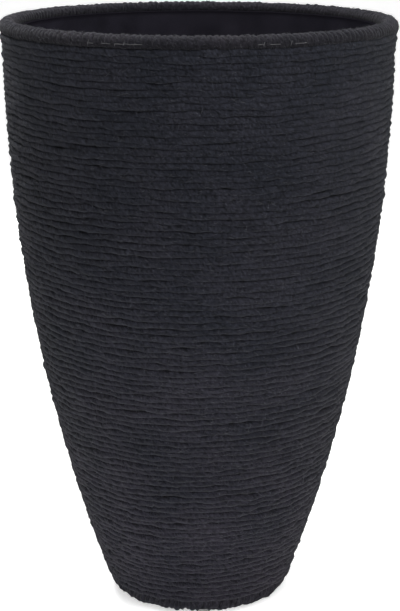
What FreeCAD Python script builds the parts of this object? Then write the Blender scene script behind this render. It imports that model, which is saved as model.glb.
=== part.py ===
"""A tall tapered floor planter: a welded wire frame, wound with cord, with a loose plastic liner.

Millimetres, +Z up. The origin is on the floor, on the pot's axis. The front is towards -Y.
The wall is a single arc in section, upright under the rim and leaning in towards the foot.
Every layer of the wall is an arc about the same centre, set in by an offset from the outside.
"""
import FreeCAD, Part
import math
import os
import Sketcher

doc = FreeCAD.newDocument("planter")

# Driving dimensions
sheet = doc.addObject("Spreadsheet::Sheet", "sizes")
DRIVING = {
    "height": 600.0,               # floor to the crest of the rim
    "wall_top_radius": 194.4,      # outside of the wound wall, under the rim
    "wall_base_radius": 89.5,      # the same arc carried down to the floor
    "cord_diameter": 5.5,
    "cord_pitch": 6.0,             # from row to row, along the wall
    "wrap_thickness": 3.8,         # the same cord, bound flat round a rod
    "wrap_gap": 0.2,               # between a rod and the cord whipped round it
    "cord_gap": 0.25,              # between the wall's cord and the felt
    "sleeve_thickness": 1.5,
    "rod_diameter": 7.0,           # rim ring and base ring
    "rib_diameter": 3.5,
    "rib_count": 12,
    "rib_gap": 0.2,                # round a rib, to the felt and the whipping
    "weld_bite": 0.25,             # depth to which a rib is let into the rim ring
    "weld_gap": 0.1,               # between wires that cross
    "hoop_diameter": 4.0,
    "lower_hoop_height": 160.0,
    "middle_hoop_height": 300.0,
    "upper_hoop_height": 450.0,
    "floor_hoop_rise": 10.0,       # floor hoop above the whipped foot
    "bar_diameter": 5.0,
    "bar_spacing": 38.0,
    "liner_gap": 1.0,              # liner to hoops
    "liner_rest": 0.3,             # liner to the bars under it
    "liner_thickness": 2.0,
    "liner_floor": 2.5,
    "liner_corner": 8.0,           # radius under the liner's floor
    "liner_drop": 9.0,             # rim crest down to the liner's lip
    "lip_height": 4.0,
    "lip_gap": 1.0,                # lip to the inside of the whipped rim
    "lip_round": 0.9,
    "glide_diameter": 14.0,
    "glide_height": 5.0,
    "glide_lift": 2.5,             # rubber left under the whipped foot
    "glide_round": 1.0,
    "glide_turn": 3.0,             # degrees from the front to the first glide
}

# Dimensions that follow from them: radii from the axis, heights above the floor,
# offsets in from the outside of the wall
FOLLOWING = {
    "roll_radius": "rod_diameter / 2 + wrap_gap + wrap_thickness",
    "tangent_height": "height - 2 * roll_radius",
    "wall_lean": "wall_top_radius - wall_base_radius",
    "arc_radius": "(tangent_height ^ 2 + wall_lean ^ 2) / (2 * wall_lean)",
    "sleeve_offset": "cord_diameter + cord_gap",
    "rib_outer_offset": "sleeve_offset + sleeve_thickness + rib_gap",
    "rib_offset": "rib_outer_offset + rib_diameter / 2",
    "hoop_offset": "rib_offset + rib_diameter / 2 + weld_gap + hoop_diameter / 2",
    "liner_offset": "hoop_offset + hoop_diameter / 2 + liner_gap",
    "rim_ring_radius": "wall_top_radius - rib_outer_offset + rod_diameter / 2 - weld_bite",
    "rim_ring_height": "height - roll_radius",
    "mouth_radius": "rim_ring_radius - roll_radius",
    "base_ring_height": "glide_lift + roll_radius",
    "base_ring_radius": "wall_top_radius - arc_radius"
    " + sqrt((arc_radius - rib_offset) ^ 2 - (tangent_height - base_ring_height) ^ 2)",
    "foot_top": "base_ring_height + roll_radius",
    "floor_hoop_height": "foot_top + floor_hoop_rise",
    "floor_hoop_radius": "wall_top_radius - arc_radius"
    " + sqrt((arc_radius - hoop_offset) ^ 2 - (tangent_height - floor_hoop_height) ^ 2)",
    "bar_height": "floor_hoop_height + hoop_diameter / 2 + weld_gap + bar_diameter / 2",
    "liner_foot": "bar_height + bar_diameter / 2 + liner_rest",
    "liner_top": "height - liner_drop",
    "lip_radius": "mouth_radius - lip_gap",
}

row = 0
for name, value in DRIVING.items():
    row += 1
    sheet.set(f"A{row}", name)
    sheet.set(f"B{row}", str(value))
    sheet.setAlias(f"B{row}", name)
for name, formula in FOLLOWING.items():
    row += 1
    sheet.set(f"A{row}", name)
    sheet.set(f"B{row}", "=" + formula)
    sheet.setAlias(f"B{row}", name)
doc.recompute()

nodes = []  # the pieces of the pot, each written to a file of its own


def size(name):
    """A dimension's value in the sheet."""
    return float(getattr(sheet, name))


def bind(item, **sizes):
    """Tie an object's properties to the sheet. A double underscore stands for a dot."""
    for prop, formula in sizes.items():
        item.setExpression(prop.replace("__", "."), formula)


def from_sheet(formula):
    """The formula with every dimension named as a cell of the sheet."""
    words = sorted([*DRIVING, *FOLLOWING], key=len, reverse=True)
    for mark, word in enumerate(words):
        formula = formula.replace(word, f"<{mark}>")
    for mark, word in enumerate(words):
        formula = formula.replace(f"<{mark}>", f"sizes.{word}")
    return formula


def piece(kind, label):
    """A new object that is one piece of the pot."""
    item = doc.addObject(kind, label)
    item.Label = label
    nodes.append(item)
    return item


def torus(item, ring_radius, wire_radius, level):
    """Shape a Part::Torus as a level hoop of round wire."""
    bind(
        item,
        Radius1=from_sheet(ring_radius),
        Radius2=from_sheet(wire_radius),
        Placement__Base__z=from_sheet(level),
    )
    return item


def cut(label, base, tool):
    """A piece that is one object with another taken out of it."""
    item = piece("Part::Cut", label)
    item.Base = base
    item.Tool = tool
    return item


def plane_of(body, role):
    """One of a body's own origin planes or axes."""
    return next(f for f in body.Origin.OriginFeatures if f.Role == role)


def sketch_on(body, role, name):
    """An empty sketch on one of a body's origin planes."""
    sketch = body.newObject("Sketcher::SketchObject", name)
    sketch.AttachmentSupport = (plane_of(body, role), "")
    sketch.MapMode = "FlatFace"
    return sketch


def dimension(sketch, kind, *where, formula):
    """A dimension of a sketch, tied to the sheet."""
    text = from_sheet(formula)
    value = float(sheet.evalExpression(text.replace("sizes.", "")))
    index = sketch.addConstraint(Sketcher.Constraint(kind, *where, value))
    sketch.setExpression(f"Constraints[{index}]", text)


ORIGIN = (-1, 1)  # a sketch's own origin point
START, END, CENTRE = 1, 2, 3


def wall_arc(sketch, offset, bottom, top):
    """Add to a sketch the arc of one layer of the wall, from one height to another."""
    centre = FreeCAD.Vector(size("wall_top_radius") - size("arc_radius"), size("tangent_height"), 0)
    radius = size("arc_radius") - offset
    circle = Part.Circle(centre, FreeCAD.Vector(0, 0, 1), radius)
    low = math.asin((bottom - centre.y) / radius)
    high = math.asin((top - centre.y) / radius)
    arc = Part.ArcOfCircle(circle, low, high)
    return sketch.addGeometry(arc), arc.StartPoint, arc.EndPoint


def line(sketch, start, end):
    """Add a straight line to a sketch."""
    return sketch.addGeometry(Part.LineSegment(start, end))


def centre_wall_arcs(sketch, outer, inner):
    """Set two layers' arcs on the wall's own centre."""
    sketch.addConstraint(Sketcher.Constraint("Coincident", outer, CENTRE, inner, CENTRE))
    dimension(sketch, "DistanceX", outer, CENTRE, *ORIGIN, formula="arc_radius - wall_top_radius")
    dimension(sketch, "DistanceY", *ORIGIN, outer, CENTRE, formula="tangent_height")


def join_in_turn(sketch, ends):
    """Join the listed ends of lines and arcs, two by two."""
    for first, second in ends:
        sketch.addConstraint(Sketcher.Constraint("Coincident", *first, *second))


def turned_full(body, sketch):
    """Revolve a sketch once round the pot's axis."""
    turned = body.newObject("PartDesign::Revolution", body.Name + "_turned")
    turned.Profile = sketch
    turned.ReferenceAxis = (sketch, ["V_Axis"])
    turned.Angle = 360.0
    doc.recompute()
    return turned


def round_edges(body, feature, names, radius):
    """Round the named edges of a body."""
    rounded = body.newObject("PartDesign::Fillet", f"{body.Name}_round_{len(body.Group)}")
    rounded.Base = (feature, names)
    bind(rounded, Radius=from_sheet(radius))
    doc.recompute()
    return rounded


def circles_at(feature, level):
    """Names of a feature's whole circles at one height, widest first."""
    found = []
    for number, edge in enumerate(feature.Shape.Edges, 1):
        level_edge = edge.BoundBox.ZLength < 1e-6 and abs(edge.BoundBox.ZMin - level) < 1e-4
        if level_edge and isinstance(edge.Curve, Part.Circle):
            found.append((edge.Curve.Radius, f"Edge{number}"))
    return [name for _, name in sorted(found, reverse=True)]


# The rings: round steel rod hoops at the rim and at the foot
rim_ring = torus(piece("Part::Torus", "rim_ring"), "rim_ring_radius", "rod_diameter / 2", "rim_ring_height")
base_ring = torus(
    piece("Part::Torus", "base_ring"), "base_ring_radius", "rod_diameter / 2", "base_ring_height"
)
rings = doc.addObject("Part::MultiFuse", "rings")
rings.Shapes = [rim_ring, base_ring]


# The ribs: wires bent to the wall's arc, let into the rim ring and coped onto the base ring
def rib_body(name, diameter, turn):
    """A wire that runs up the wall's arc from the base ring and ends upright beside the rim ring."""
    body = doc.addObject("PartDesign::Body", name)
    section = sketch_on(body, "XY_Plane", name + "_section")
    bind(section, AttachmentOffset__Base__z="sizes.tangent_height")
    place = FreeCAD.Vector(size("wall_top_radius") - size("rib_offset"), 0, 0)
    circle = section.addGeometry(Part.Circle(place, FreeCAD.Vector(0, 0, 1), size("rib_diameter") / 2))
    section.addConstraint(Sketcher.Constraint("PointOnObject", circle, CENTRE, -1))
    dimension(section, "DistanceX", *ORIGIN, circle, CENTRE, formula="wall_top_radius - rib_offset")
    dimension(section, "Diameter", circle, formula=diameter)
    hinge_x = size("wall_top_radius") - size("arc_radius")
    hinge = section.addGeometry(
        Part.LineSegment(FreeCAD.Vector(hinge_x, 0, 0), FreeCAD.Vector(hinge_x, size("rib_diameter"), 0)), True
    )
    section.addConstraint(Sketcher.Constraint("PointOnObject", hinge, START, -1))
    section.addConstraint(Sketcher.Constraint("Vertical", hinge))
    dimension(section, "DistanceX", hinge, START, *ORIGIN, formula="arc_radius - wall_top_radius")
    dimension(section, "DistanceY", hinge, START, hinge, END, formula="rib_diameter")
    upright = body.newObject("PartDesign::Pad", name + "_upright")
    upright.Profile = section
    bind(upright, Length=from_sheet("rim_ring_height - tangent_height + rib_diameter / 2"))
    bent = body.newObject("PartDesign::Revolution", name + "_bent")
    bent.Profile = section
    bent.ReferenceAxis = (section, ["Axis0"])
    bind(bent, Angle=from_sheet("asin((tangent_height - base_ring_height) / (arc_radius - rib_offset))"))
    body.Placement = FreeCAD.Placement(FreeCAD.Vector(), FreeCAD.Rotation(FreeCAD.Vector(0, 0, 1), 0))
    bind(body, Placement__Rotation__Angle=f"360 / sizes.rib_count * {turn}")
    return body


rim_slots = doc.addObject("Part::MultiFuse", "rim_slots")
foot_slots = doc.addObject("Part::MultiFuse", "foot_slots")
uprights = []
bent_slots = []
for turn in range(int(size("rib_count"))):
    wire = rib_body(f"rib_wire_{turn + 1:02d}", "rib_diameter", turn)
    cut(f"rib_{turn + 1:02d}", wire, rings)
    bent_slots.append(rib_body(f"foot_slot_{turn + 1:02d}", "rib_diameter + 2 * rib_gap", turn))
    upright = doc.addObject("Part::Cylinder", f"rim_slot_{turn + 1:02d}")
    bearing = f"(360 / rib_count * {turn})"
    bind(
        upright,
        Radius=from_sheet("rib_diameter / 2 + rib_gap"),
        Height=from_sheet("rim_ring_height - tangent_height + 1.5 * rib_diameter + rib_gap"),
        Placement__Base__x=from_sheet(f"(wall_top_radius - rib_offset) * cos{bearing}"),
        Placement__Base__y=from_sheet(f"(wall_top_radius - rib_offset) * sin{bearing}"),
        Placement__Base__z=from_sheet("tangent_height - rib_diameter"),
    )
    uprights.append(upright)
rim_slots.Shapes = uprights
foot_slots.Shapes = bent_slots

# The hoops: wire rings inside the ribs
for name in ("lower", "middle", "upper"):
    level = f"{name}_hoop_height"
    reach = "(arc_radius - hoop_offset) ^ 2 - (tangent_height - %s) ^ 2" % level
    hoop = piece("Part::Torus", f"hoop_{name}")
    torus(hoop, f"wall_top_radius - arc_radius + sqrt({reach})", "hoop_diameter / 2", level)

# The grate under the liner: a hoop with three bars lying across it
floor_hoop = piece("Part::Torus", "floor_hoop")
torus(floor_hoop, "floor_hoop_radius", "hoop_diameter / 2", "floor_hoop_height")
for number, side in enumerate((-1, 0, 1), 1):
    bar = piece("Part::Cylinder", f"floor_bar_{number}")
    half = f"sqrt(floor_hoop_radius ^ 2 - ({side} * bar_spacing) ^ 2)"
    bar.Placement = FreeCAD.Placement(FreeCAD.Vector(), FreeCAD.Rotation(FreeCAD.Vector(0, 1, 0), 90))
    bind(
        bar,
        Radius="sizes.bar_diameter / 2",
        Height=from_sheet(f"2 * {half}"),
        Placement__Base__x=from_sheet(f"-{half}"),
        Placement__Base__y=from_sheet(f"{side} * bar_spacing"),
        Placement__Base__z="sizes.bar_height",
    )

# The felt sleeve: cloth stretched over the ribs, from the whipped foot to the whipped rim
sleeve = piece("PartDesign::Body", "felt_sleeve")
band = sketch_on(sleeve, "XZ_Plane", "sleeve_band")
SLEEVE_TOP = "tangent_height - rib_gap"
sleeve_low, sleeve_high = size("foot_top"), size("tangent_height") - size("rib_gap")
outside, out_low, out_high = wall_arc(band, size("sleeve_offset"), sleeve_low, sleeve_high)
inside, in_low, in_high = wall_arc(
    band, size("sleeve_offset") + size("sleeve_thickness"), sleeve_low, sleeve_high
)
upper_edge = line(band, out_high, in_high)
lower_edge = line(band, in_low, out_low)
join_in_turn(
    band,
    [
        ((outside, END), (upper_edge, START)),
        ((upper_edge, END), (inside, END)),
        ((inside, START), (lower_edge, START)),
        ((lower_edge, END), (outside, START)),
    ],
)
for edge in (upper_edge, lower_edge):
    band.addConstraint(Sketcher.Constraint("Horizontal", edge))
centre_wall_arcs(band, outside, inside)
dimension(band, "Radius", outside, formula="arc_radius - sleeve_offset")
dimension(band, "Radius", inside, formula="arc_radius - sleeve_offset - sleeve_thickness")
dimension(band, "DistanceY", *ORIGIN, upper_edge, START, formula=SLEEVE_TOP)
dimension(band, "DistanceY", *ORIGIN, lower_edge, START, formula="foot_top")
turned_full(sleeve, band)

# The whippings: a roll of cord round each ring, open where the ribs come through
rolls = {}
for name, slots in (("rim", rim_slots), ("base", foot_slots)):
    roll = doc.addObject("Part::Torus", f"{name}_roll")
    rolls[name] = torus(roll, f"{name}_ring_radius", "roll_radius", f"{name}_ring_height")
    hollow = doc.addObject("Part::Torus", f"{name}_hollow")
    torus(hollow, f"{name}_ring_radius", "rod_diameter / 2 + wrap_gap", f"{name}_ring_height")
    tube = doc.addObject("Part::Cut", f"{name}_tube")
    tube.Base = roll
    tube.Tool = hollow
    cut(f"{name}_whipping", tube, slots)

# The glides: rubber pads glued under the whipped foot, one near the front
GLIDES = 4
for number in range(GLIDES):
    pad = doc.addObject("PartDesign::Body", f"glide_pad_{number + 1}")
    disc = sketch_on(pad, "XY_Plane", pad.Name + "_disc")
    circle = disc.addGeometry(
        Part.Circle(FreeCAD.Vector(), FreeCAD.Vector(0, 0, 1), size("glide_diameter") / 2)
    )
    disc.addConstraint(Sketcher.Constraint("Coincident", circle, CENTRE, *ORIGIN))
    dimension(disc, "Diameter", circle, formula="glide_diameter")
    block = pad.newObject("PartDesign::Pad", pad.Name + "_block")
    block.Profile = disc
    bind(block, Length="sizes.glide_height")
    doc.recompute()
    round_edges(pad, block, circles_at(block, 0.0), "glide_round")
    bearing = f"(sizes.glide_turn - 90 + {number} * 360 / {GLIDES})"
    bind(
        pad,
        Placement__Base__x=f"sizes.base_ring_radius * cos({bearing})",
        Placement__Base__y=f"sizes.base_ring_radius * sin({bearing})",
    )
    cut(f"glide_{number + 1}", pad, rolls["base"])

# The liner: a moulded plastic insert that follows the wall, with a lip to lift it by
liner = piece("PartDesign::Body", "liner")
shell = sketch_on(liner, "XZ_Plane", "liner_shell")
foot, top = size("liner_foot"), size("liner_top")
lip_low, floor_top = top - size("lip_height"), foot + size("liner_floor")
outside, out_low, out_high = wall_arc(shell, size("liner_offset"), foot, lip_low)
inside, in_low, in_high = wall_arc(shell, size("liner_offset") + size("liner_thickness"), floor_top, top)
lip_under = FreeCAD.Vector(size("lip_radius"), lip_low, 0)
lip_crest = FreeCAD.Vector(size("lip_radius"), top, 0)
underside = line(shell, FreeCAD.Vector(0, foot, 0), out_low)
under_lip = line(shell, out_high, lip_under)
lip_side = line(shell, lip_under, lip_crest)
lip_top = line(shell, lip_crest, in_high)
floor_line = line(shell, in_low, FreeCAD.Vector(0, floor_top, 0))
axis_line = line(shell, FreeCAD.Vector(0, floor_top, 0), FreeCAD.Vector(0, foot, 0))
join_in_turn(
    shell,
    [
        ((underside, END), (outside, START)),
        ((outside, END), (under_lip, START)),
        ((under_lip, END), (lip_side, START)),
        ((lip_side, END), (lip_top, START)),
        ((lip_top, END), (inside, END)),
        ((inside, START), (floor_line, START)),
        ((floor_line, END), (axis_line, START)),
        ((axis_line, END), (underside, START)),
    ],
)
for edge in (underside, under_lip, lip_top, floor_line):
    shell.addConstraint(Sketcher.Constraint("Horizontal", edge))
shell.addConstraint(Sketcher.Constraint("Vertical", lip_side))
shell.addConstraint(Sketcher.Constraint("PointOnObject", axis_line, START, -2))
shell.addConstraint(Sketcher.Constraint("PointOnObject", axis_line, END, -2))
centre_wall_arcs(shell, outside, inside)
dimension(shell, "Radius", outside, formula="arc_radius - liner_offset")
dimension(shell, "Radius", inside, formula="arc_radius - liner_offset - liner_thickness")
dimension(shell, "DistanceY", *ORIGIN, underside, START, formula="liner_foot")
dimension(shell, "DistanceY", *ORIGIN, floor_line, END, formula="liner_foot + liner_floor")
dimension(shell, "DistanceY", *ORIGIN, lip_side, END, formula="liner_top")
dimension(shell, "DistanceY", lip_side, START, lip_side, END, formula="lip_height")
dimension(shell, "DistanceX", *ORIGIN, lip_side, START, formula="lip_radius")
cup = turned_full(liner, shell)
cup = round_edges(liner, cup, circles_at(cup, foot)[:1], "liner_corner")
cup = round_edges(liner, cup, circles_at(cup, floor_top)[:1], "liner_corner - liner_thickness")
round_edges(liner, cup, circles_at(cup, top)[:2] + circles_at(cup, lip_low)[:1], "lip_round")

# The wall's cord: one long winding, laid on in hanks that are joined end to end at the back
HANK_TURNS = 24
CLEARANCE = 0.4  # from the winding's first and last rows to the whipped rolls
cord_radius = size("cord_diameter") / 2
arc_axis = size("wall_top_radius") - size("arc_radius")
track_radius = size("arc_radius") - cord_radius


def track(slope):
    """Distance from the axis and height of the cord's centre, at a slope angle of the wall."""
    return (
        arc_axis + track_radius * math.cos(slope),
        size("tangent_height") - track_radius * math.sin(slope),
    )


def slope_clear_of(roll, low, high):
    """Between two slopes, the one where the cord comes just clear of a whipped roll.

    The first slope is too near the roll and the second is well away from it.
    """
    ring = (size(f"{roll}_ring_radius"), size(f"{roll}_ring_height"))
    wanted = size("roll_radius") + cord_radius + CLEARANCE
    for _ in range(50):
        middle = (low + high) / 2
        if math.dist(track(middle), ring) < wanted:
            low = middle
        else:
            high = middle
    return high


def slope_at(level):
    """Slope angle of the wall where the cord's centre is at a height."""
    return math.asin((size("tangent_height") - level) / track_radius)


half_way = slope_at(size("height") / 2)
first_slope = slope_clear_of("base", slope_at(size("base_ring_height")), half_way)
last_slope = slope_clear_of("rim", 0.0, half_way)
turns = int((first_slope - last_slope) * track_radius / size("cord_pitch"))
turn_slope = (first_slope - last_slope) / turns  # the rows are spread to fill the wall
hanks = math.ceil(turns / HANK_TURNS)


def cord_at(turn):
    """Centre of the cord and its direction, a number of turns up from the foot, from the back round."""
    slope = first_slope - turn * turn_slope
    radius, level = track(slope)
    bearing = math.pi / 2 + 2 * math.pi * turn
    outward = FreeCAD.Vector(math.cos(bearing), math.sin(bearing), 0)
    sideways = FreeCAD.Vector(-math.sin(bearing), math.cos(bearing), 0)
    rise = track_radius * math.cos(slope) * turn_slope
    widening = track_radius * math.sin(slope) * turn_slope
    direction = sideways * (2 * math.pi * radius) + outward * widening + FreeCAD.Vector(0, 0, rise)
    return outward * radius + FreeCAD.Vector(0, 0, level), direction.normalize()


def biarc(start, start_way, end, end_way):
    """Two arcs from start to end, leaving and arriving in the given directions."""
    chord = end - start
    along = chord.dot(start_way + end_way)
    spread = 2 * (1 - start_way.dot(end_way))
    reach = (-along + math.sqrt(along * along + spread * chord.dot(chord))) / spread
    corners = (start + start_way * reach, end - end_way * reach)
    middle = (corners[0] + corners[1]) * 0.5
    arcs = []
    for first, corner, last in ((start, corners[0], middle), (middle, corners[1], end)):
        weight = (last - first).Length / 2 / (corner - first).Length
        crown = (first + corner * (2 * weight) + last) * (1 / (2 + 2 * weight))
        arcs.append(Part.Arc(first, crown, last).toShape())
    return arcs


def cord_edges(first, last):
    """The cord's centre line between two counts of turns, with a straight run at each end."""
    lead = size("cord_diameter")
    (start, start_way), (end, end_way) = cord_at(first), cord_at(last)
    halves = [cord_at(first + half / 2) for half in range(1, 2 * (last - first))]
    stations = [(start + start_way * lead, start_way), *halves, (end - end_way * lead, end_way)]
    edges = [Part.LineSegment(start, stations[0][0]).toShape()]
    for one, other in zip(stations, stations[1:]):
        edges += biarc(*one, *other)
    edges.append(Part.LineSegment(stations[-1][0], end).toShape())
    return edges


def least_gap(edges, turn_count):
    """Least distance between a winding's neighbouring turns, less the cord, on points of its centre line."""
    length = sum(edge.Length for edge in edges)
    per_turn = 48
    points = Part.Wire(edges).discretize(Number=per_turn * turn_count)
    least = length
    for index, point in enumerate(points):
        for other in points[index + per_turn // 2:index + per_turn * 3 // 2]:
            least = min(least, point.distanceToPoint(other))
    return least - size("cord_diameter")


shared, spare = divmod(turns, hanks)
reached = 0
for number in range(hanks):
    count = shared + (1 if number < spare else 0)
    edges = cord_edges(reached, reached + count)
    start, start_way = cord_at(reached)
    section = Part.Wire([Part.Circle(start, start_way, cord_radius).toShape()])
    pipe = Part.BRepOffsetAPI.MakePipeShell(Part.Wire(edges))
    pipe.add(section)
    pipe.build()
    pipe.makeSolid()
    hank = piece("Part::Feature", f"wall_cord_{number + 1}")
    hank.Shape = pipe.shape()
    length = sum(edge.Length for edge in edges)
    swept = math.pi * cord_radius ** 2 * length
    print(
        f"wall_cord_{number + 1}: {count} turns, {length / 1000:.2f} m,"
        f" volume {hank.Shape.Volume / swept:.4f} of section times length,"
        f" least gap {least_gap(edges, count):.3f} mm"
    )
    reached += count

# Check everything, then write each piece to its own file
doc.recompute()
for item in doc.Objects:
    if "Invalid" in item.State or "Error" in item.State:
        raise RuntimeError(f"{item.Label} did not build: {item.State}")
for item in nodes:
    if item.Shape.isNull() or not item.Shape.isValid() or len(item.Shape.Solids) != 1:
        raise RuntimeError(f"{item.Label} is not one valid solid")
os.makedirs("parts", exist_ok=True)
for item in nodes:
    item.Shape.exportStep(f"parts/{item.Label}.step")
print(len(nodes), "pieces,", turns, "turns of cord on the wall")
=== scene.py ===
"""A tall tapered floor planter wound with charcoal cord, dressed over its CAD frame. Metres, +Z up."""
import math
import random
import bpy
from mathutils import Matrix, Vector, noise


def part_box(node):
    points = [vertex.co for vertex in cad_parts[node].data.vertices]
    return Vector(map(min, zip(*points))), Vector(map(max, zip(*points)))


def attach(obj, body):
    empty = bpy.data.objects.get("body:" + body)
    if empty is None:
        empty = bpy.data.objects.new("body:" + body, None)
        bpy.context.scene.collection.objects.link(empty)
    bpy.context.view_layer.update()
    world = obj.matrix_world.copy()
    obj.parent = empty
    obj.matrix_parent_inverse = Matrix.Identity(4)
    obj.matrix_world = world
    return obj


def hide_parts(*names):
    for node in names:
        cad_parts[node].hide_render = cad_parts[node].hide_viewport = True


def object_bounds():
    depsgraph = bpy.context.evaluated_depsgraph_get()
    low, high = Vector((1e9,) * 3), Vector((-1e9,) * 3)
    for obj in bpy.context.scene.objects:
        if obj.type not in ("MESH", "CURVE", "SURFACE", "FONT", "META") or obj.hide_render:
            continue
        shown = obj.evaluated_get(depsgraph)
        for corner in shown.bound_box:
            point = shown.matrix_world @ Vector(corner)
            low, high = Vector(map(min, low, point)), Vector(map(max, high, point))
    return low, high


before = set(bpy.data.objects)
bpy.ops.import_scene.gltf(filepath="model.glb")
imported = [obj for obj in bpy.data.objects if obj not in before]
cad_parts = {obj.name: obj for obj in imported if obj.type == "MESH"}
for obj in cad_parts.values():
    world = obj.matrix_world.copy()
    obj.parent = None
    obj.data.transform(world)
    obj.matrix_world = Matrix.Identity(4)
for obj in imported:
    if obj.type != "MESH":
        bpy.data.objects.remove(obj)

cad_low, cad_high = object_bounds()

# Wire frame: two rod rings, ribs, hoops and a floor grate of mild steel wire, spot welded at the
# crossings and powder coated black in one go. It carries everything else and hides behind the felt.
HOOPS = ["hoop_lower", "hoop_middle", "hoop_upper", "floor_hoop"]
RIBS = [f"rib_{n:02d}" for n in range(1, 13)]
BARS = ["floor_bar_1", "floor_bar_2", "floor_bar_3"]


def new_finish(name):
    """A material, with its nodes, its links and its Principled shader."""
    material = bpy.data.materials.new(name)
    material.use_nodes = True
    nodes, links = material.node_tree.nodes, material.node_tree.links
    return material, nodes, links, nodes["Principled BSDF"]


def fine_grain_group():
    """Fine speckle over a slow mottle, for the coating, felt, plastic and rubber."""
    group = bpy.data.node_groups.new("fine_grain", "ShaderNodeTree")
    group.interface.new_socket("Vector", in_out="INPUT", socket_type="NodeSocketVector")
    for name in ("Grain", "Mottle"):
        group.interface.new_socket(name, in_out="INPUT", socket_type="NodeSocketFloat")
    for name in ("Speckle", "Patch"):
        group.interface.new_socket(name, in_out="OUTPUT", socket_type="NodeSocketFloat")
    nodes, links = group.nodes, group.links
    given, out = nodes.new("NodeGroupInput"), nodes.new("NodeGroupOutput")
    for size, result, detail in (("Grain", "Speckle", 4.0), ("Mottle", "Patch", 2.0)):
        cloud = nodes.new("ShaderNodeTexNoise")
        cloud.inputs["Detail"].default_value = detail
        links.new(given.outputs["Vector"], cloud.inputs["Vector"])
        links.new(given.outputs[size], cloud.inputs["Scale"])
        links.new(cloud.outputs["Fac"], out.inputs[result])
    return group


FINE_GRAIN = fine_grain_group()


def grained_finish(name, dark, light, grain, mottle, rough, bump):
    """A material of two near colours, mottled and speckled, with a fine raised grain."""
    material, nodes, links, shader = new_finish(name)
    place = nodes.new("ShaderNodeTexCoord")
    speck = nodes.new("ShaderNodeGroup")
    speck.node_tree = FINE_GRAIN
    speck.inputs["Grain"].default_value = grain
    speck.inputs["Mottle"].default_value = mottle
    links.new(place.outputs["Object"], speck.inputs["Vector"])
    both = nodes.new("ShaderNodeMath")
    both.operation = "MULTIPLY_ADD"
    both.inputs[1].default_value = 0.6
    links.new(speck.outputs["Speckle"], both.inputs[0])
    links.new(speck.outputs["Patch"], both.inputs[2])
    tone = nodes.new("ShaderNodeValToRGB")
    tone.color_ramp.elements[0].position = 0.55
    tone.color_ramp.elements[0].color = (*dark, 1)
    tone.color_ramp.elements[1].position = 1.0
    tone.color_ramp.elements[1].color = (*light, 1)
    links.new(both.outputs[0], tone.inputs["Fac"])
    links.new(tone.outputs["Color"], shader.inputs["Base Color"])
    gloss = nodes.new("ShaderNodeMapRange")
    gloss.inputs["To Min"].default_value = rough[0]
    gloss.inputs["To Max"].default_value = rough[1]
    links.new(speck.outputs["Patch"], gloss.inputs["Value"])
    links.new(gloss.outputs["Result"], shader.inputs["Roughness"])
    raised = nodes.new("ShaderNodeBump")
    raised.inputs["Strength"].default_value = 0.5
    raised.inputs["Distance"].default_value = bump
    links.new(speck.outputs["Speckle"], raised.inputs["Height"])
    links.new(raised.outputs["Normal"], shader.inputs["Normal"])
    return material, shader


black_coating, _ = grained_finish(
    "black_powder_coating", dark=(0.008, 0.008, 0.009), light=(0.022, 0.022, 0.024),
    grain=1400.0, mottle=60.0, rough=(0.38, 0.62), bump=0.0001
)
for name in ["rim_ring", "base_ring"] + HOOPS + RIBS + BARS:
    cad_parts[name].data.materials.clear()
    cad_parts[name].data.materials.append(black_coating)

# Weld beads: where two wires cross, the spot weld has squeezed out a little steel, coated with the rest.
# There is one where each rib passes each hoop, and one at each end of the three floor bars.
BEAD = 0.0023
beads = []
for hoop in HOOPS:
    low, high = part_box(hoop)
    wire, level = (high.z - low.z) / 2, (high.z + low.z) / 2
    ring = high.x - wire
    for rib in range(len(RIBS)):
        bearing = 2 * math.pi * rib / len(RIBS)
        beads.append(((ring + wire) * math.cos(bearing), (ring + wire) * math.sin(bearing), level))
    if hoop == "floor_hoop":
        for bar in BARS:
            bar_low, bar_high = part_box(bar)
            for end in (bar_low.x + BEAD / 2, bar_high.x - BEAD / 2):
                beads.append((end, (bar_low.y + bar_high.y) / 2, level + wire))
bpy.ops.object.select_all(action="DESELECT")
lumps_of_steel = []
for spot in beads:
    bpy.ops.mesh.primitive_ico_sphere_add(subdivisions=2, radius=BEAD, location=spot)
    lumps_of_steel.append(bpy.context.object)
for lump in lumps_of_steel:
    lump.select_set(True)
bpy.ops.object.join()
welds = bpy.context.object
welds.name = welds.data.name = "weld_beads"
bpy.ops.object.transform_apply(location=True, rotation=True, scale=True)
uneven = welds.modifiers.new("uneven_steel", "DISPLACE")
steel_ripple = bpy.data.textures.new("steel_ripple", "CLOUDS")
steel_ripple.noise_scale = 0.002
uneven.texture = steel_ripple
uneven.texture_coords = "LOCAL"
uneven.strength = 0.0008
bpy.ops.object.modifier_apply(modifier=uneven.name)
bpy.ops.object.shade_smooth()
welds.data.materials.append(black_coating)
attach(welds, "pot")

# Felt sleeve: one piece of needled black felt, sewn to a tapering tube and drawn down over the ribs.
# The wall's cord is glued to it, its top edge is bound in with the rim, and no light passes between the rows.
WALL_TOP, WALL_ARC, TANGENT = 0.1944, 1.683646, 0.5850
FELT_IN, FELT_THICK = 0.00725, 0.0015
FELT_SIDES, FELT_STEPS, FELT_TUCK = 96, 28, 0.003
felt_low, felt_high = (corner.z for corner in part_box("felt_sleeve"))
felt_high += FELT_TUCK


def wall_radius(inset, level):
    """Distance from the axis of the wall's layer at an inset from its outside."""
    return WALL_TOP - WALL_ARC + math.sqrt((WALL_ARC - inset) ** 2 - (TANGENT - level) ** 2)


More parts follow.
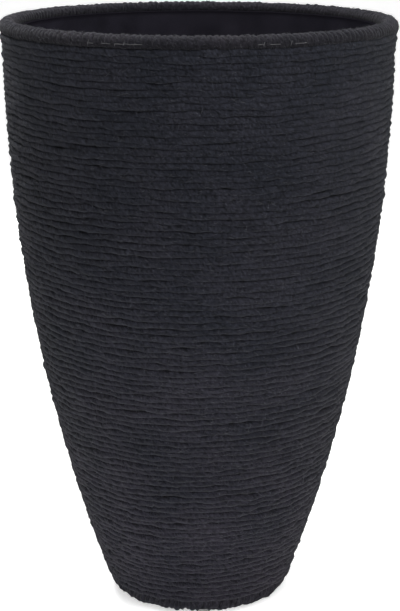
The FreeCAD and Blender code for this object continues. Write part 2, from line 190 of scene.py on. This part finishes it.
bpy.ops.object.select_all(action="DESELECT")
bpy.ops.mesh.primitive_circle_add(
    vertices=FELT_SIDES, radius=wall_radius(FELT_IN, felt_low), location=(0, 0, felt_low), enter_editmode=True
)
felt = bpy.context.object
felt.name = felt.data.name = "felt_tube"
rise = (felt_high - felt_low) / FELT_STEPS
for step in range(FELT_STEPS):
    level = felt_low + step * rise
    here, above = wall_radius(FELT_IN, level), wall_radius(FELT_IN, level + rise)
    bpy.ops.mesh.extrude_edges_move(TRANSFORM_OT_translate={"value": (0, 0, rise)})
    bpy.ops.transform.resize(value=(above / here, above / here, 1), center_override=(0, 0, 0))
bpy.ops.mesh.select_all(action="SELECT")
bpy.ops.mesh.normals_make_consistent(inside=False)
bpy.ops.object.mode_set(mode="OBJECT")
bpy.ops.object.transform_apply(location=True, rotation=True, scale=True)
thick = felt.modifiers.new("felt_thickness", "SOLIDIFY")
thick.thickness = FELT_THICK
thick.offset = 1.0
bpy.ops.object.modifier_apply(modifier=thick.name)
bpy.ops.object.shade_smooth_by_angle(angle=math.radians(40))
black_felt, felt_shader = grained_finish(
    "black_needled_felt", dark=(0.006, 0.006, 0.007), light=(0.022, 0.022, 0.024),
    grain=900.0, mottle=90.0, rough=(0.9, 1.0), bump=0.0004
)
felt_shader.inputs["Specular IOR Level"].default_value = 0.1
felt_shader.inputs["Sheen Weight"].default_value = 0.15
felt_shader.inputs["Sheen Roughness"].default_value = 0.5
felt.data.materials.append(black_felt)
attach(felt, "pot")
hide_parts("felt_sleeve")

# Wall cord: soft charcoal yarn cord, wound row on row from the foot to the rim and glued to the felt.
# It goes on in hanks that meet end to end at the back, and its last end is tucked under the rim's roll.
# The rows are laid by hand: they lean on each other, swell and thin, and wander a little up and down.
POT_HEIGHT = cad_high.z
FIRST_SLOPE, LAST_SLOPE = 0.345480, 0.001815
WALL_TURNS, HANK_TURNS, HANKS = 96, 24, 4
TUCKED_TURNS, TUCKED_OUT = 1.3, 0.0021
TUCK_BELOW, TUCK_RISE, TUCK_FALL = 2.9, 3.5, 0.5
FOOT_CALM, RIM_CALM = 5, 4
DRIFT, WAVER, JITTER, PROUD = 0.0040, 0.0017, 0.0017, 0.0019
FOOT_FULL, RIM_FULLER, LONG_SWELL, SHORT_SWELL = 0.97, 0.17, 0.13, 0.17
CORD_DEEP, CORD_TALL, CORD_FLAT = 0.0069, 0.0078, 1.6
CORD_INSET = 0.00275
CORD_TRACK = WALL_ARC - CORD_INSET
TURN_POINTS, CORD_SIDES, GLUED_IN = 162, 12, 0.0067


def wall_place(turn, along=0.0, outward=0.0):
    """A point of the winding, a count of turns up from the foot, shifted up the wall and off it."""
    slope = FIRST_SLOPE + turn * (LAST_SLOPE - FIRST_SLOPE) / WALL_TURNS - along / CORD_TRACK
    radius = WALL_TOP - WALL_ARC + (CORD_TRACK + outward) * math.cos(slope)
    level = TANGENT - (CORD_TRACK + outward) * math.sin(slope)
    bearing = math.pi / 2 + 2 * math.pi * turn
    return Vector((radius * math.cos(bearing), radius * math.sin(bearing), level))


def ring_noise(bearing, waves, seed):
    """Smooth noise round a ring, finer with more waves."""
    return noise.noise(Vector((waves * math.cos(bearing), waves * math.sin(bearing), seed)))


def row_noise(turn, waves, own, seed):
    """Smooth noise along the winding: waves round the pot, and how unlike two neighbouring rows are."""
    return ring_noise(2 * math.pi * turn, waves, own * turn + seed)


def row_wander(turn):
    """How far the rows stray up or down: a slow drift that rows share, a row's own waver, short jitter."""
    calm = max(0.0, min(1.0, turn / FOOT_CALM, (WALL_TURNS - turn) / RIM_CALM))
    drift, waver = row_noise(turn, 1.3, 0.10, 0), row_noise(turn, 6.0, 0.83, 40)
    return calm * (DRIFT * drift + WAVER * waver) + JITTER * row_noise(turn, 23.0, 3.1, 90)


def row_proud(turn):
    """How far the cord stands off its track: its own unevenness, and top rows drawn out to the roll."""
    rising = (turn - WALL_TURNS + TUCK_BELOW) / TUCK_RISE
    falling = (WALL_TURNS + TUCKED_TURNS - turn) / TUCK_FALL
    return PROUD * row_noise(turn, 9.0, 2.3, 7) + TUCKED_OUT * max(0, min(1, rising, falling)) ** 1.5


def row_width(turn):
    """The cord's size as a share of full: fuller towards the rim, and thick and thin along its length."""
    full = FOOT_FULL + RIM_FULLER * (turn / WALL_TURNS) ** 2
    return full + LONG_SWELL * row_noise(turn, 6.0, 1.9, 3) + SHORT_SWELL * row_noise(turn, 30.0, 3.7, 20)


def yarn_fibre_group():
    """Twisted yarn on a cord's own map: fine slanting fibres, tufts, soft plies, flecks of pale lint."""
    group = bpy.data.node_groups.new("yarn_fibre", "ShaderNodeTree")
    for name, kind in (("Map", "NodeSocketVector"), ("Lay", "NodeSocketFloat")):
        group.interface.new_socket(name, in_out="INPUT", socket_type=kind)
    for name in ("Fibre", "Tuft", "Ply", "Lint"):
        group.interface.new_socket(name, in_out="OUTPUT", socket_type="NodeSocketFloat")
    nodes, links = group.nodes, group.links
    given, out = nodes.new("NodeGroupInput"), nodes.new("NodeGroupOutput")

    def sum_of(operation, first, second):
        """The result of a Math node on two sockets or numbers."""
        node = nodes.new("ShaderNodeMath")
        node.operation = operation
        for socket, value in zip(node.inputs, (first, second)):
            if isinstance(value, (int, float)):
                socket.default_value = value
            else:
                links.new(value, socket)
        return node.outputs[0]

    parts = nodes.new("ShaderNodeSeparateXYZ")
    links.new(given.outputs["Map"], parts.inputs[0])
    around, along = parts.outputs["X"], parts.outputs["Y"]
    turned = sum_of("ADD", around, sum_of("DIVIDE", along, given.outputs["Lay"]))
    angle = sum_of("MULTIPLY", turned, 2 * math.pi)
    for result, stretch, scale, detail in (
        ("Fibre", 95.0, 4.0, 3.0), ("Tuft", 270.0, 1.4, 2.0), ("Lint", 200.0, 3.0, 1.0)
    ):
        spot = nodes.new("ShaderNodeCombineXYZ")
        links.new(sum_of("COSINE", angle, 0), spot.inputs["X"])
        links.new(sum_of("SINE", angle, 0), spot.inputs["Y"])
        links.new(sum_of("MULTIPLY", along, stretch), spot.inputs["Z"])
        cloud = nodes.new("ShaderNodeTexNoise")
        cloud.inputs["Scale"].default_value = scale
        cloud.inputs["Detail"].default_value = detail
        cloud.inputs["Roughness"].default_value = 0.62
        links.new(spot.outputs[0], cloud.inputs["Vector"])
        if result == "Lint":
            fleck = nodes.new("ShaderNodeMapRange")
            fleck.inputs["From Min"].default_value = 0.65
            fleck.inputs["From Max"].default_value = 0.80
            links.new(cloud.outputs["Fac"], fleck.inputs["Value"])
            links.new(fleck.outputs["Result"], out.inputs[result])
        else:
            links.new(cloud.outputs["Fac"], out.inputs[result])
    ply = sum_of("COSINE", sum_of("MULTIPLY", angle, 3.0), 0)
    links.new(sum_of("MULTIPLY_ADD", ply, 0.5), out.inputs["Ply"])
    return group


YARN_FIBRE = yarn_fibre_group()


def yarn_finish(name, dark, light, lint, lay, light_by_height):
    """Matte hairy yarn, paler where fibres stand up, flecked with lint, tinted by dye, with painted light and
    shade by height.
    """
    material, nodes, links, shader = new_finish(name)
    map_of_cord = nodes.new("ShaderNodeUVMap")
    map_of_cord.uv_map = "UVMap"
    yarn = nodes.new("ShaderNodeGroup")
    yarn.node_tree = YARN_FIBRE
    yarn.inputs["Lay"].default_value = lay
    links.new(map_of_cord.outputs["UV"], yarn.inputs["Map"])
    hair = nodes.new("ShaderNodeMix")
    hair.inputs["Factor"].default_value = 0.7
    links.new(yarn.outputs["Fibre"], hair.inputs["A"])
    links.new(yarn.outputs["Tuft"], hair.inputs["B"])
    tone = nodes.new("ShaderNodeValToRGB")
    tone.color_ramp.elements[0].position = 0.37
    tone.color_ramp.elements[0].color = (*dark, 1)
    tone.color_ramp.elements[1].position = 0.65
    tone.color_ramp.elements[1].color = (*light, 1)
    links.new(hair.outputs["Result"], tone.inputs["Fac"])
    place = nodes.new("ShaderNodeTexCoord")
    patch = nodes.new("ShaderNodeTexNoise")
    patch.inputs["Scale"].default_value = 16.0
    patch.inputs["Detail"].default_value = 3.0
    links.new(place.outputs["Object"], patch.inputs["Vector"])
    dye = nodes.new("ShaderNodeValToRGB")
    dye.color_ramp.elements[0].position = 0.34
    dye.color_ramp.elements[0].color = (0.80, 0.83, 0.86, 1)
    dye.color_ramp.elements[1].position = 0.68
    dye.color_ramp.elements[1].color = (1.22, 1.16, 1.16, 1)
    links.new(patch.outputs["Fac"], dye.inputs["Fac"])
    dyed_and_painted_light = nodes.new("ShaderNodeMix")
    dyed_and_painted_light.data_type = "RGBA"
    dyed_and_painted_light.blend_type = "MULTIPLY"
    dyed_and_painted_light.inputs["Factor"].default_value = 1.0
    links.new(tone.outputs["Color"], dyed_and_painted_light.inputs["A"])
    split, height_up = nodes.new("ShaderNodeSeparateXYZ"), nodes.new("ShaderNodeMapRange")
    height_up.inputs["From Max"].default_value = POT_HEIGHT
    links.new(place.outputs["Object"], split.inputs[0])
    links.new(split.outputs["Z"], height_up.inputs["Value"])
    # Painted light and shade by height: this ramp multiplies the colour, lighter or darker level by level
    # where the lamps and the floor light the pot more or less.
    painted_light_ramp = nodes.new("ShaderNodeValToRGB")
    for stop in range(len(light_by_height) - 2):
        painted_light_ramp.color_ramp.elements.new(0.5)
    for element, (level, tint) in zip(painted_light_ramp.color_ramp.elements, light_by_height):
        element.position = level / POT_HEIGHT
        element.color = (*tint, 1)
    links.new(height_up.outputs["Result"], painted_light_ramp.inputs["Fac"])
    tinted = nodes.new("ShaderNodeVectorMath")
    tinted.operation = "MULTIPLY"
    links.new(dye.outputs["Color"], tinted.inputs[0])
    links.new(painted_light_ramp.outputs["Color"], tinted.inputs[1])
    links.new(tinted.outputs["Vector"], dyed_and_painted_light.inputs["B"])
    flecked = nodes.new("ShaderNodeMix")
    flecked.data_type = "RGBA"
    flecked.inputs["B"].default_value = (*lint, 1)
    links.new(yarn.outputs["Lint"], flecked.inputs["Factor"])
    links.new(dyed_and_painted_light.outputs["Result"], flecked.inputs["A"])
    links.new(flecked.outputs["Result"], shader.inputs["Base Color"])
    height = nodes.new("ShaderNodeMath")
    height.operation = "MULTIPLY_ADD"
    height.inputs[1].default_value = 0.2
    links.new(yarn.outputs["Ply"], height.inputs[0])
    links.new(hair.outputs["Result"], height.inputs[2])
    raised = nodes.new("ShaderNodeBump")
    raised.inputs["Strength"].default_value = 0.9
    raised.inputs["Distance"].default_value = 0.0018
    links.new(height.outputs[0], raised.inputs["Height"])
    links.new(raised.outputs["Normal"], shader.inputs["Normal"])
    shader.inputs["Roughness"].default_value = 0.95
    shader.inputs["Specular IOR Level"].default_value = 0.06
    shader.inputs["Sheen Weight"].default_value = 0.03
    shader.inputs["Sheen Roughness"].default_value = 0.55
    return material


# The wall's height ramp is painted light: lighter towards the foot as painted bounce light from the floor,
# and a little darker around 0.19 m up.
wall_yarn = yarn_finish(
    "charcoal_wall_yarn", dark=(0.0033, 0.0036, 0.0050), light=(0.0176, 0.0184, 0.0252),
    lint=(0.052, 0.052, 0.062), lay=0.036, light_by_height=(
        (0.02, (1.16, 1.04, 1.04)), (0.09, (1.12, 1.03, 1.03)), (0.19, (0.91, 0.87, 0.87)),
        (0.34, (1.06, 1.06, 1.05)), (0.48, (1.03, 1.06, 1.05)), (0.58, (1.02, 1.06, 1.06))
    )
)

bpy.ops.object.select_all(action="DESELECT")
bpy.ops.curve.primitive_bezier_circle_add(radius=1.0)
cord_end = bpy.context.object
cord_end.name = "cord_end"
cord_end.data.splines.clear()
outline = cord_end.data.splines.new("POLY")
outline.points.add(CORD_SIDES - 1)
for side, point in enumerate(outline.points):
    angle = 2 * math.pi * side / CORD_SIDES
    full = (abs(math.cos(angle)) ** CORD_FLAT + abs(math.sin(angle)) ** CORD_FLAT) ** (-1 / CORD_FLAT)
    point.co = (CORD_DEEP / 2 * full * math.cos(angle), CORD_TALL / 2 * full * math.sin(angle), 0, 1)
outline.use_cyclic_u = True

yarn_lumps = bpy.data.textures.new("yarn_lumps", "CLOUDS")
yarn_lumps.noise_scale = 0.0030
yarn_lumps.noise_depth = 1


def laid_cord(name, points, widths, closed, section=None, girth=0.0, lumpy=0.0014):
    """A cord laid along points, thick and thin by widths, as a lumpy mesh with its map in metres."""
    line = bpy.data.curves.new(name, "CURVE")
    line.dimensions = "3D"
    line.resolution_u = 2
    line.use_fill_caps = not closed
    if section is None:
        line.bevel_depth = girth / 2
        line.bevel_resolution = 3
    else:
        line.bevel_mode = "OBJECT"
        line.bevel_object = section
        line.twist_mode = "Z_UP"
    spline = line.splines.new("NURBS")
    spline.points.add(len(points) - 1)
    for spot, point, width in zip(spline.points, points, widths):
        spot.co = (*point, 1)
        spot.radius = width
    spline.order_u = 3
    spline.use_endpoint_u = not closed
    spline.use_cyclic_u = closed
    cord = bpy.data.objects.new(name, line)
    bpy.context.collection.objects.link(cord)
    bpy.ops.object.select_all(action="DESELECT")
    cord.select_set(True)
    bpy.context.view_layer.objects.active = cord
    bpy.ops.object.convert(target="MESH")
    cord = bpy.context.object
    length = sum((b - a).length for a, b in zip(points, points[1:]))
    for corner in cord.data.uv_layers["UVMap"].data:
        corner.uv = corner.uv.y, corner.uv.x * length
    rough = cord.modifiers.new("yarn_lumps", "DISPLACE")
    rough.texture = yarn_lumps
    rough.texture_coords = "LOCAL"
    rough.strength = lumpy
    rough.mid_level = 0.5
    bpy.ops.object.modifier_apply(modifier=rough.name)
    bpy.ops.object.shade_smooth()
    return cord


for hank in range(HANKS):
    length = HANK_TURNS + (TUCKED_TURNS if hank == HANKS - 1 else 0)
    turns = [hank * HANK_TURNS + step / TURN_POINTS for step in range(round(length * TURN_POINTS) + 1)]
    points = [wall_place(turn, row_wander(turn), row_proud(turn)) for turn in turns]
    widths = [row_width(turn) for turn in turns]
    cord = laid_cord(f"wall_hank_{hank + 1}", points, widths, False, section=cord_end)
    for vertex in cord.data.vertices:
        radius, down = vertex.co.xy.length, TANGENT - vertex.co.z
        flat = max(1.0, (WALL_ARC - GLUED_IN) / math.hypot(radius - WALL_TOP + WALL_ARC, down))
        out = (WALL_TOP - WALL_ARC + flat * (radius - WALL_TOP + WALL_ARC)) / radius
        vertex.co = (out * vertex.co.x, out * vertex.co.y, TANGENT - flat * down)
    cord.data.materials.append(wall_yarn)
    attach(cord, "pot")
    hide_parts(f"wall_cord_{hank + 1}")
bpy.data.objects.remove(cord_end)

# Stray fibres: the yarn is spun from short staple, so it is hairy. Loose ends and loops of fibre lift off
# every row, lean along it and catch the light a little more than the yarn they come from.
FIBRE_THICK = 0.00020


def fibre_finish(name, dark, light):
    """Loose fibres of uneven colour, paler than the yarn they come from."""
    material, nodes, links, shader = new_finish(name)
    place = nodes.new("ShaderNodeTexCoord")
    speck = nodes.new("ShaderNodeGroup")
    speck.node_tree = FINE_GRAIN
    speck.inputs["Grain"].default_value = 260.0
    speck.inputs["Mottle"].default_value = 90.0
    links.new(place.outputs["Object"], speck.inputs["Vector"])
    tone = nodes.new("ShaderNodeValToRGB")
    tone.color_ramp.elements[0].position = 0.38
    tone.color_ramp.elements[0].color = (*dark, 1)
    tone.color_ramp.elements[1].position = 0.64
    tone.color_ramp.elements[1].color = (*light, 1)
    links.new(speck.outputs["Speckle"], tone.inputs["Fac"])
    links.new(tone.outputs["Color"], shader.inputs["Base Color"])
    shader.inputs["Roughness"].default_value = 0.7
    shader.inputs["Specular IOR Level"].default_value = 0.3
    return material


loose_fibre = fibre_finish("charcoal_loose_fibre", (0.008, 0.008, 0.010), (0.055, 0.055, 0.064))


def stray_fibres(name, count, root_of, longest, seed):
    """Fine hairs, each rooted where root_of says, that lift off the cord and curl back, as one mesh."""
    draw = random.Random(seed)
    hairs = bpy.data.curves.new(name, "CURVE")
    hairs.dimensions = "3D"
    hairs.bevel_depth = FIBRE_THICK / 2
    hairs.bevel_resolution = 0
    for _ in range(count):
        root, along, out = root_of(draw)
        across = out.cross(along)
        heading = draw.gauss(0, 0.6) + draw.choice((0, math.pi))
        ahead = math.cos(heading) * along + math.sin(heading) * across
        aside = math.cos(heading) * across - math.sin(heading) * along
        reach = draw.uniform(0.3, 1) * longest
        curl = draw.gauss(0, 0.15 * longest)
        lift = draw.uniform(0.03, 0.13) * longest
        tip = draw.uniform(0.2, 1.8)
        bends = ((0.0, 0.0, -0.4, 1.0), (0.33, 0.2, 0.7, 1.0), (0.67, 0.6, 1.1, 0.9), (1.0, 1.3, tip, 0.5))
        strand = hairs.splines.new("POLY")
        strand.points.add(len(bends) - 1)
        for point, (far, side, up, width) in zip(strand.points, bends):
            point.co = (*(root + far * reach * ahead + side * curl * aside + up * lift * out), 1)
            point.radius = width
    fluff = bpy.data.objects.new(name, hairs)
    bpy.context.collection.objects.link(fluff)
    bpy.ops.object.select_all(action="DESELECT")
    fluff.select_set(True)
    bpy.context.view_layer.objects.active = fluff
    bpy.ops.object.convert(target="MESH")
    fluff = bpy.context.object
    bpy.ops.object.shade_smooth()
    fluff.data.materials.append(loose_fibre)
    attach(fluff, "pot")


def wall_root(draw):
    """A random place on the wound wall, as likely on any square centimetre of it."""
    turn = draw.uniform(0.4, WALL_TURNS - 0.3)
    while draw.random() > wall_place(turn).xy.length / WALL_TOP:
        turn = draw.uniform(0.4, WALL_TURNS - 0.3)
    shift = draw.gauss(0, 0.0013)
    standing = CORD_DEEP / 2 * math.sqrt(max(0, 1 - (2 * shift / CORD_TALL) ** 2))
    root = wall_place(turn, row_wander(turn) + shift, standing)
    out = (wall_place(turn, 0, 0.01) - wall_place(turn)).normalized()
    along = Vector((0, 0, 1)).cross(out).normalized()
    return root, along, out


stray_fibres("wall_fibres", count=8000, root_of=wall_root, longest=0.008, seed=11)

# Whippings: the same cord bound flat round the rim rod and the foot rod, wrap beside wrap.
# They finish the wall's two edges, hold the felt down and hide the ends of the ribs.
WRAP_POINTS, BEADED = 14, 0.80
WRAP_TILT, WRAP_STRAY, WRAP_SWELL, HEM_RAGGED = 0.0016, 0.0009, 0.15, 0.4


def whip_place(roll, bearing, about, out, side=0, hem=0.0):
    """A point on a whipped roll: bearing goes round the ring, about round the rod, hem draws a side out."""
    ring, level = roll
    across, up = out * math.cos(about), out * math.sin(about)
    if across > 0 and up * side > 0:
        square = out / (across ** 3 + abs(up) ** 3) ** (1 / 3)
        up *= square * (1 + hem * min(1, 3 * across / out))
        across *= square
    return Vector(((ring + across) * math.cos(bearing), (ring + across) * math.sin(bearing), level + up))


def whipping(name, roll, thick, wraps, wide, lean, side, hem, pressed, ragged):
    """Cord wound round a level ring, no two wraps leaning or swelling quite alike, and pressed flat."""
    middle = thick - pressed * wide / 2
    points, widths = [], []
    for step in range(wraps * WRAP_POINTS):
        wrap = step / WRAP_POINTS
        about, bearing = 2 * math.pi * wrap, 2 * math.pi * wrap / wraps
        stray, swell, tilt = (ring_noise(bearing, wraps / 2.2, seed) for seed in (5.0, 9.0, 13.0))
        bearing += ((lean + WRAP_TILT * tilt) * math.sin(about) + WRAP_STRAY * stray) / roll[0]
        points.append(whip_place(roll, bearing, about, middle + ragged * swell))
        widths.append(1 + WRAP_SWELL * swell)
    whip = laid_cord(name, points, widths, True, girth=wide)
    for vertex in whip.data.vertices:
        across, up = vertex.co.xy.length - roll[0], vertex.co.z - roll[1]
        left = min(1.0, pressed + BEADED * max(0.0, up / math.hypot(across, up)) ** 3)
        out = thick + left * (math.hypot(across, up) - middle - wide / 2)
        bearing = math.atan2(vertex.co.y, vertex.co.x)
        reach = 1 + HEM_RAGGED * ring_noise(bearing, wraps / 4, 17.0)
        vertex.co = whip_place(roll, bearing, math.atan2(up, across), out, side, hem * reach)
    return whip


# The rolls' height ramps are painted light and shade: the foot roll darker at its bottom and lighter above,
# the rim roll darker on its underside as painted shade and lighter at its crest as painted highlight.
foot_yarn, rim_yarn = (
    yarn_finish(
        f"charcoal_{edge}_yarn", dark=(0.0048, 0.0047, 0.0064), light=(0.0198, 0.0194, 0.0252),
        lint=(0.044, 0.043, 0.051), lay=0.040, light_by_height=light_by_height
    )
    for edge, light_by_height in (
        ("foot", ((0.0, (0.9, 0.9, 0.9)), (0.02, (1.08, 1.06, 1.06)))),
        ("rim", (
            (0.588, (0.52, 0.52, 0.52)), (0.5945, (0.69, 0.68, 0.68)), (0.5995, (1.20, 1.20, 1.13))
        )),
    )
)
for name, node, wraps, wide, lean, side, hem, pressed, ragged, fuller, hairs, seed, whip_yarn in (
    ("foot_whip", "base_whipping", 97, 0.0066, 0.0012, 1, 0.25, 1.0, 0.0018, 0.0008, 500, 21, foot_yarn),
    ("rim_whip", "rim_whipping", 207, 0.0076, -0.0016, -1, -0.30, 0.23, 0.0005, 0.0005, 2200, 31, rim_yarn),
):
    low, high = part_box(node)
    thick = (high.z - low.z) / 2
    roll = (high.x - thick, (high.z + low.z) / 2)
    thick += fuller
    whip = whipping(name, roll, thick, wraps, wide, lean, side, hem, pressed, ragged)
    whip.data.materials.append(whip_yarn)
    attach(whip, "pot")
    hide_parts(node)

    def whip_root(draw):
        """A random place on this whipped roll, clear of the side that the liner slides past."""
        bearing, about = draw.uniform(0, 2 * math.pi), draw.uniform(-0.5 * math.pi, 0.85 * math.pi)
        root = whip_place(roll, bearing, about, thick - 0.0004, side, hem)
        out = whip_place(roll, bearing, about, thick + 0.01) - whip_place(roll, bearing, about, thick)
        out.normalize()
        along = out.cross(Vector((-math.sin(bearing), math.cos(bearing), 0)))
        return root, along, out

    stray_fibres(f"{name}_fibres", count=hairs, root_of=whip_root, longest=0.005, seed=seed)

# Thread: a pale sewing thread that pins the rim's wraps at the front. It runs under them, and comes out
# over them for two short stretches, with a knot or a cross stitch here and there.
THREAD_THICK, RUN_STEPS, RUN_SUNK, STITCH_SUNK = 0.0005, 18, 0.0030, 0.0006
rim_low, rim_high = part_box("rim_whipping")
thread_reach, thread_level = rim_high.x + 0.0008, (rim_low.z + rim_high.z) / 2 - 0.0006
line = bpy.data.curves.new("rim_thread", "CURVE")
line.dimensions = "3D"
line.bevel_depth = THREAD_THICK / 2
line.bevel_resolution = 1
line.resolution_u = 3
draw = random.Random(5)
for left, right, stitches in (
    (-0.103, -0.047, (-0.101, -0.076, -0.068)),
    (0.050, 0.101, (0.058, 0.083)),
):
    runs = [(RUN_SUNK, [(left + (right - left) * step / RUN_STEPS, 0.0) for step in range(RUN_STEPS + 1)])]
    for stitch in stitches:
        runs.append((STITCH_SUNK, [(stitch + 0.0004 * step, 0.0014 * (step - 1.2)) for step in range(4)]))
    for sunk, run in runs:
        spline = line.splines.new("NURBS")
        spline.points.add(len(run) - 1)
        for step, (spot, (across, up)) in enumerate(zip(spline.points, run)):
            inside = sunk if step in (0, len(run) - 1) else draw.choice((0.0, 0.0002, 0.0004, 0.0016))
            reach = thread_reach - inside
            level = thread_level + up + draw.gauss(0, 0.00025)
            spot.co = (across, -math.sqrt(reach ** 2 - across ** 2), level, 1)
            spot.radius = draw.uniform(0.8, 1.3)
        spline.order_u = 3
        spline.use_endpoint_u = True
thread = bpy.data.objects.new("rim_thread", line)
bpy.context.collection.objects.link(thread)
bpy.ops.object.select_all(action="DESELECT")
thread.select_set(True)
bpy.context.view_layer.objects.active = thread
bpy.ops.object.convert(target="MESH")
thread = bpy.context.object
bpy.ops.object.shade_smooth()
pale_thread, _ = grained_finish(
    "pale_sewing_thread", dark=(0.018, 0.018, 0.021), light=(0.070, 0.070, 0.075),
    grain=1800.0, mottle=240.0, rough=(0.6, 0.8), bump=0.0001
)
thread.data.materials.append(pale_thread)
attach(thread, "pot")

# Glides: small round pads of grey rubber, moulded and glued under the whipped foot.
# They keep the cord off a wet floor and let the pot stand level.
grey_rubber, _ = grained_finish(
    "grey_pad_rubber", dark=(0.10, 0.10, 0.10), light=(0.19, 0.19, 0.185),
    grain=1500.0, mottle=120.0, rough=(0.7, 0.9), bump=0.0002
)
for n in (1, 2, 3, 4):
    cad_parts[f"glide_{n}"].data.materials.clear()
    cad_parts[f"glide_{n}"].data.materials.append(grey_rubber)

# Liner: a loose black plastic insert, moulded in one with a rolled lip, that holds the soil.
# It stands on the floor bars and lifts out. It is matte all over, and its lip is given a darker colour as
# painted shade, so the lip's top does not show lit.
LIP_LEVEL, LIP_FADE = 0.586, 0.004
black_plastic, plastic_shader = grained_finish(
    "black_liner_plastic", dark=(0.0088, 0.0083, 0.0113), light=(0.0165, 0.0154, 0.0210),
    grain=1100.0, mottle=30.0, rough=(0.70, 0.85), bump=0.0002
)
nodes, links = black_plastic.node_tree.nodes, black_plastic.node_tree.links
place, split = nodes.new("ShaderNodeTexCoord"), nodes.new("ShaderNodeSeparateXYZ")
lip = nodes.new("ShaderNodeMapRange")
lip.inputs["From Min"].default_value = LIP_LEVEL
lip.inputs["From Max"].default_value = LIP_LEVEL + LIP_FADE
lip.inputs["To Min"].default_value = 1.0
lip.inputs["To Max"].default_value = 0.0
links.new(place.outputs["Object"], split.inputs[0])
links.new(split.outputs["Z"], lip.inputs["Value"])
# Painted shade: above LIP_LEVEL the base colour fades to near black, darkening the lip's top where the lamps
# would light it.
lip_painted_shade = nodes.new("ShaderNodeMix")
lip_painted_shade.data_type = "RGBA"
lip_painted_shade.inputs["A"].default_value = (0.0050, 0.0047, 0.0064, 1)
links.new(lip.outputs["Result"], lip_painted_shade.inputs["Factor"])
links.new(plastic_shader.inputs["Base Color"].links[0].from_socket, lip_painted_shade.inputs["B"])
links.new(lip_painted_shade.outputs["Result"], plastic_shader.inputs["Base Color"])
plastic_shader.inputs["Specular IOR Level"].default_value = 0.0
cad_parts["liner"].data.materials.clear()
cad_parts["liner"].data.materials.append(black_plastic)

# Studio: a white sweep of paper that runs up behind the pot, lit through from below like a light table,
# with a bright room, soft lamps all round and two narrow ones that reach into the mouth.
bpy.ops.object.select_all(action="DESELECT")
bpy.ops.mesh.primitive_plane_add(size=12.0, location=(0, 0, 0), enter_editmode=True)
sweep = bpy.context.object
sweep.name = sweep.data.name = "paper_sweep"
bpy.ops.mesh.select_all(action="DESELECT")
bpy.ops.object.mode_set(mode="OBJECT")
for edge in sweep.data.edges:
    edge.select = all(sweep.data.vertices[v].co.y > 5 for v in edge.vertices)
bpy.ops.object.mode_set(mode="EDIT")
bpy.ops.mesh.extrude_edges_move(TRANSFORM_OT_translate={"value": (0, 0, 6)})
bpy.ops.object.mode_set(mode="OBJECT")
fold = sweep.modifiers.new("paper_fold", "BEVEL")
fold.width = 2.5
fold.segments = 24
bpy.ops.object.modifier_apply(modifier=fold.name)
bpy.ops.object.shade_smooth()
white_paper, _, _, paper_shader = new_finish("white_paper")
paper_shader.inputs["Base Color"].default_value = (0.92, 0.92, 0.92, 1)
paper_shader.inputs["Roughness"].default_value = 0.9
paper_shader.inputs["Specular IOR Level"].default_value = 0.1
paper_shader.inputs["Emission Color"].default_value = (1, 1, 1, 1)
paper_shader.inputs["Emission Strength"].default_value = 0.5
sweep.data.materials.append(white_paper)

world = bpy.data.worlds.new("bright_room")
bpy.context.scene.world = world
world.use_nodes = True
world.node_tree.nodes["Background"].inputs["Color"].default_value = (1, 1, 1, 1)
world.node_tree.nodes["Background"].inputs["Strength"].default_value = 0.24
for name, place, aim, size, power, spread in (
    ("softbox_overhead", (0.15, -0.6, 2.4), (0, 0, 0.5), 1.4, 70, 180),
    ("softbox_right", (1.6, -1.0, 1.05), (0, 0, 0.15), 1.2, 15, 180),
    ("softbox_fill", (-1.5, -1.2, 0.7), (0, 0, 0.45), 1.0, 2.5, 180),
    ("softbox_back", (-0.3, 2.0, 0.5), (0, 0, 0.25), 1.2, 9, 180),
    ("softbox_low", (-0.2, -1.3, 0.2), (0, 0, 0.0), 0.6, 0.7, 18),
    ("softbox_left", (-0.8, 0.9, 1.9), (-0.19, 0, 0.6), 0.5, 1.5, 30),
    ("mouth_light_left", (-1.2, -0.1, 1.4), (0.17, 0.05, 0.57), 0.3, 0.14, 14),
    ("mouth_light_right", (1.2, -0.1, 1.4), (-0.17, 0.05, 0.57), 0.3, 0.08, 14),
):
    lamp = bpy.data.lights.new(name, "AREA")
    lamp.size = size
    lamp.energy = power
    lamp.spread = math.radians(spread)
    stand = bpy.data.objects.new(name, lamp)
    stand.location = place
    stand.rotation_euler = (Vector(aim) - Vector(place)).to_track_quat("-Z", "Y").to_euler()
    bpy.context.collection.objects.link(stand)

# Camera: as the photograph was taken, from a little above the rim and square to the front.
# Its place and lens were fitted to the pot's outline in the photograph.
CAMERA_DIP = 14.01
lens = bpy.data.cameras.new("photo_camera")
lens.lens = 107.9
lens.sensor_width = 36.0
lens.shift_x = 0.002
camera = bpy.data.objects.new("photo_camera", lens)
camera.location = (0, -1.8373, 0.7623)
camera.rotation_euler = (math.radians(90 - CAMERA_DIP), 0, 0)
bpy.context.collection.objects.link(camera)
bpy.context.scene.camera = camera
bpy.context.scene.view_settings.view_transform = "Standard"
